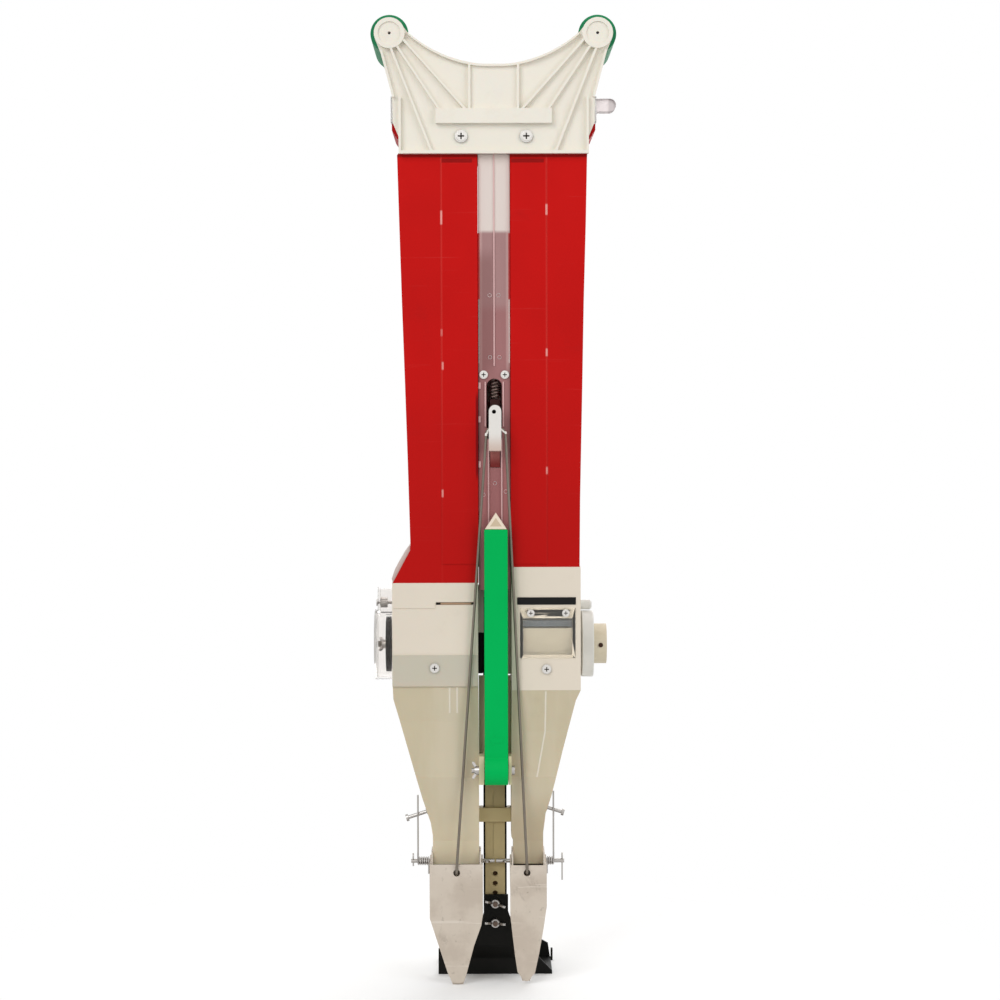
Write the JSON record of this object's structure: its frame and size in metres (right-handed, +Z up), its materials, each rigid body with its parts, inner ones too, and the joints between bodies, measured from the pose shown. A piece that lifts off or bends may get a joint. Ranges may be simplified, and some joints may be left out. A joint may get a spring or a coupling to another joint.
{
  "type": "hand planter",
  "caption": "Push-in hand planter: red seed and fertiliser hoppers, steel beaks with hinged flaps opened by a spring-loaded foot, metering gear, fold-out spacing ruler and green grips.",
  "frame": {"origin": "on the ground, at the middle of the planter's width and depth", "axes": "+X to the right seen from the ruler's side, +Y from the ruler to the rear, +Z up along the hoppers"},
  "size_m": [0.234, 0.1586, 0.926],
  "materials": {
    "handle_ivory": "satin moulded plastic with faint scuffs",
    "grip_green": "satin",
    "hopper_red": "semi-gloss moulded plastic with scuffs",
    "lid_white": "translucent white",
    "strip_clear": "clear",
    "white_plastic": "satin",
    "cream_plastic": "satin",
    "housing_ivory": "satin with scuffs",
    "funnel_beige": "translucent",
    "black_plastic": "satin",
    "clear_plastic": "clear",
    "ruler_green": "satin",
    "brown_plastic": "satin",
    "grey_plastic": "satin",
    "brush_black": "matt",
    "beak_steel": "worn, with smudges",
    "plated_steel": "zinc plated",
    "wire_steel": "dark",
    "spring_steel": "dark",
    "foot_black": "satin black"
  },
  "bodies": {
    "frame": {"handle_front_plate": "handle_ivory", "handle_rear_plate": "handle_ivory", "handle_screws": "plated_steel", "grip_left": "grip_green", "grip_right": "grip_green", "grip_cores": "plated_steel", "seed_hopper": "hopper_red", "fertiliser_hopper": "hopper_red", "lid_pins": "plated_steel", "guide_strip": "strip_clear", "guide_screws": "plated_steel", "spine": "white_plastic", "rear_strip": "white_plastic", "return_spring": "spring_steel", "seed_housing": "housing_ivory", "fertiliser_housing": "housing_ivory", "housing_screws": "plated_steel", "seed_cover": "clear_plastic", "cover_screw": "plated_steel", "rack_guide": "black_plastic", "shaft_bushes": "brown_plastic", "shaft_flange": "white_plastic", "flange_peg": "white_plastic", "inspection_window": "clear_plastic", "scraper_bar": "grey_plastic", "brush_strip": "brush_black", "seed_funnel": "funnel_beige", "fertiliser_funnel": "funnel_beige", "bar_strap": "cream_plastic", "ruler_bracket": "cream_plastic", "ruler_bolt": "plated_steel", "ruler_wing_nut": "plated_steel", "seed_jaw": "beak_steel", "fertiliser_jaw": "beak_steel", "hinge_pins": "plated_steel", "hinge_springs": "spring_steel", "anchor_screws": "plated_steel"},
    "plunger": {"plunger_bar": "cream_plastic", "rack": "black_plastic", "slider_head": "white_plastic", "lift_rod": "wire_steel", "pull_wire_left": "wire_steel", "pull_wire_right": "wire_steel", "foot": "foot_black", "foot_bolts": "plated_steel", "foot_wing_nuts": "plated_steel"},
    "metering": {"metering_shaft": "wire_steel", "pinion": "black_plastic", "seed_disc": "black_plastic", "disc_wing_nut": "plated_steel", "fertiliser_roller": "cream_plastic", "shaft_hub": "cream_plastic", "hub_set_screw": "brown_plastic"},
    "seed_flap": {"seed_flap": "beak_steel"},
    "fertiliser_flap": {"fertiliser_flap": "beak_steel"},
    "seed_lid": {"seed_lid": "lid_white"},
    "fertiliser_lid": {"fertiliser_lid": "lid_white"},
    "ruler": {"ruler_sleeve": "ruler_green"},
    "rule": {"sliding_rule": "cream_plastic"},
    "seed_gate": {"seed_gate": "grey_plastic"}
  },
  "joints": [
    {"name": "plunger_slide", "type": "slide", "parent": "frame", "child": "plunger", "axis": [0, 0, 1], "range_m": [0, 0.0226], "stiffness_N_per_m": 600, "springref_m": -0.05, "deforming": ["return_spring"]},
    {"name": "seed_flap_hinge", "type": "hinge", "parent": "frame", "child": "seed_flap", "pos_m": [-0.037, -0.01825, 0.114], "axis": [1, 0, 0], "range_deg": [-39.8, 0]},
    {"name": "fertiliser_flap_hinge", "type": "hinge", "parent": "frame", "child": "fertiliser_flap", "pos_m": [0.032, -0.01825, 0.114], "axis": [1, 0, 0], "range_deg": [-39.8, 0]},
    {"name": "metering_spin", "type": "hinge", "parent": "frame", "child": "metering", "pos_m": [0, 0.01475, 0.3225], "axis": [1, 0, 0], "range_deg": [-72.5, 0]},
    {"name": "seed_lid_hinge", "type": "hinge", "parent": "frame", "child": "seed_lid", "pos_m": [-0.094, 0.00675, 0.828], "axis": [0, -1, 0], "range_deg": [0, 56]},
    {"name": "fertiliser_lid_hinge", "type": "hinge", "parent": "frame", "child": "fertiliser_lid", "pos_m": [0.094, 0.00675, 0.828], "axis": [0, 1, 0], "range_deg": [0, 56]},
    {"name": "ruler_fold", "type": "hinge", "parent": "frame", "child": "ruler", "pos_m": [0, -0.06525, 0.2085], "axis": [1, 0, 0], "range_deg": [0, 110]},
    {"name": "ruler_extend", "type": "slide", "parent": "ruler", "child": "rule", "axis": [0, 0, 1], "range_m": [0, 0.02]},
    {"name": "seed_gate_slide", "type": "slide", "parent": "frame", "child": "seed_gate", "axis": [0, -1, 0], "range_m": [0, 0.03]}
  ],
  "couplings": [
    {"joint": "seed_flap_hinge", "follows": "plunger_slide", "rad_per_m": -30.3},
    {"joint": "fertiliser_flap_hinge", "follows": "plunger_slide", "rad_per_m": -30.3},
    {"joint": "metering_spin", "follows": "plunger_slide", "rad_per_m": -55.556}
  ]
}
